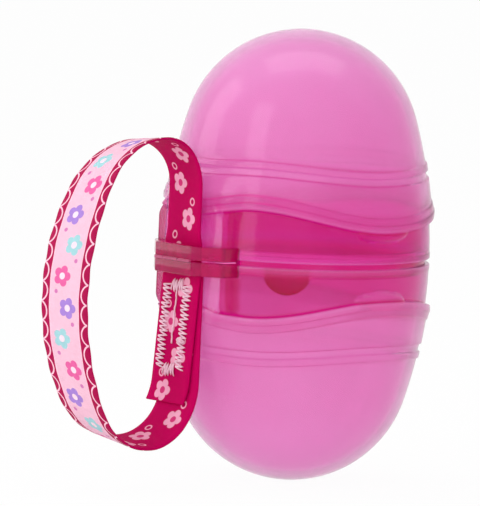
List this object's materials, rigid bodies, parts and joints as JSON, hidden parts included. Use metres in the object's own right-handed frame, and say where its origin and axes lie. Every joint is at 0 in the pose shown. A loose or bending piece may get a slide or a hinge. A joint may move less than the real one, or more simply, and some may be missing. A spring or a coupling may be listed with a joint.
{
  "type": "pacifier case",
  "caption": "Egg-shaped hinged case that keeps a pacifier clean, in translucent pink plastic with a wavy band, and a woven ribbon loop for hanging it on a pram or bag.",
  "frame": {"origin": "middle of the cavity: the egg's axis in the seam plane", "axes": "+Z along the egg's axis through the upper shell, the hinge and ribbon loop at -X, the thumb grips at +Y and -Y"},
  "size_m": [0.0893, 0.058, 0.094],
  "materials": {
    "shell_plastic": "translucent pink polypropylene, glossy",
    "film_plastic": "thin translucent pink polypropylene",
    "ribbon": "woven polyester ribbon",
    "thread": "polyester sewing thread"
  },
  "bodies": {
    "lower_half": {"lower_shell": "shell_plastic", "hinge_film": "film_plastic", "strap_ribbon": "ribbon", "strap_stitching": "thread"},
    "upper_half": {"upper_shell": "shell_plastic"}
  },
  "joints": [
    {"name": "lid_hinge", "type": "hinge", "parent": "lower_half", "child": "upper_half", "pos_m": [-0.0332, 0, 0], "axis": [0, -1, 0], "range_deg": [0, 170], "deforming": ["strap_ribbon", "hinge_film", "strap_stitching"]}
  ]
}
